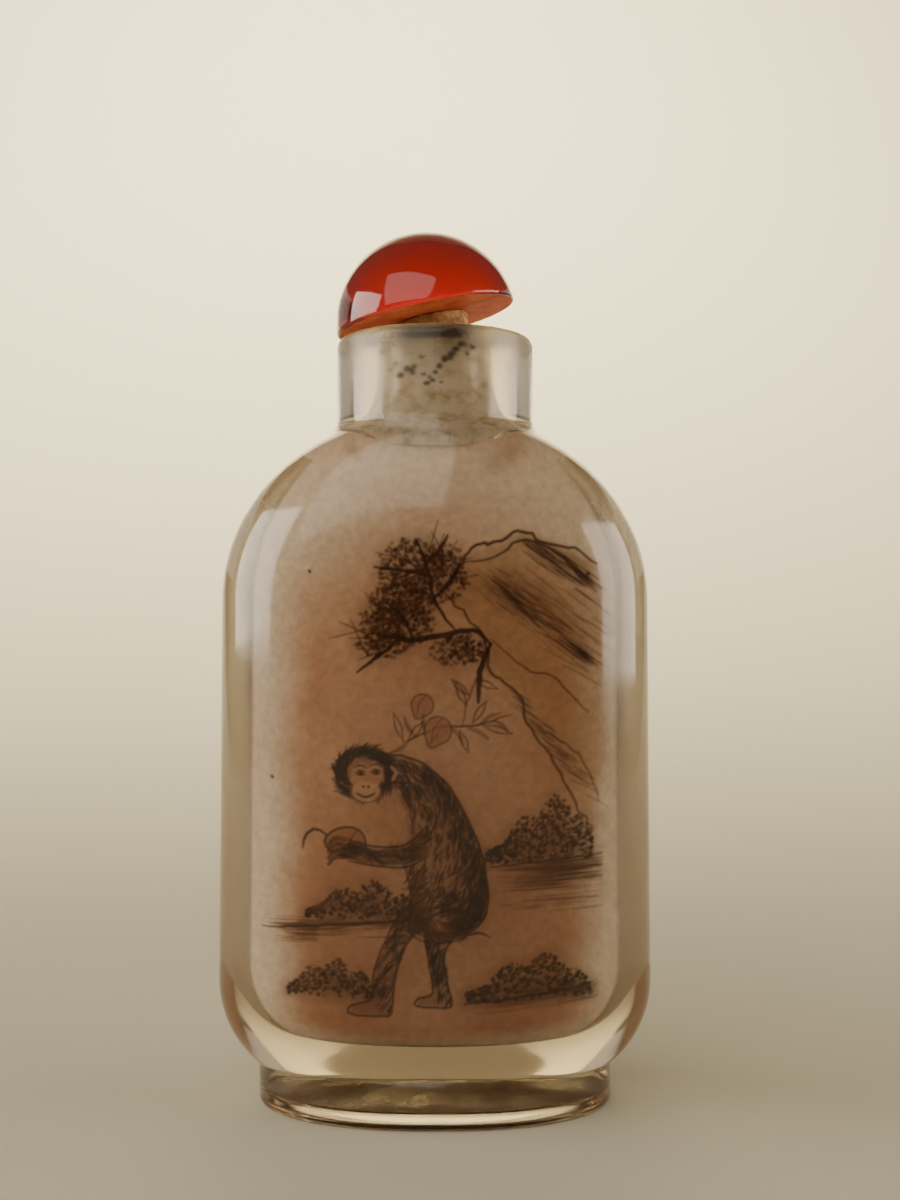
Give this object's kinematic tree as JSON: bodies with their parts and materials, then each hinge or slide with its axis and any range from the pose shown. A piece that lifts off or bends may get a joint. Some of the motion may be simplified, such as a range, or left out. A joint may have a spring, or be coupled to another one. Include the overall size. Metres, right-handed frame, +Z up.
{
  "type": "snuff bottle",
  "caption": "Flattened clear glass snuff bottle with rounded shoulders, round neck and oval foot, painted inside, with a dome stopper on a cork plug.",
  "frame": {"origin": "middle of the foot's underside, on the surface that the bottle stands on", "axes": "+Z up along the neck, the painted front towards -Y, +X to the right seen from the front"},
  "size_m": [0.0362, 0.0204, 0.0726],
  "materials": {
    "clear_glass": "polished outside, ground inside, painted on the inside",
    "red_glass": "polished",
    "cork": "matt, worn"
  },
  "bodies": {
    "root": {"bottle": "clear_glass", "stopper_dome": "red_glass", "stopper_cork": "cork"}
  },
  "joints": []
}
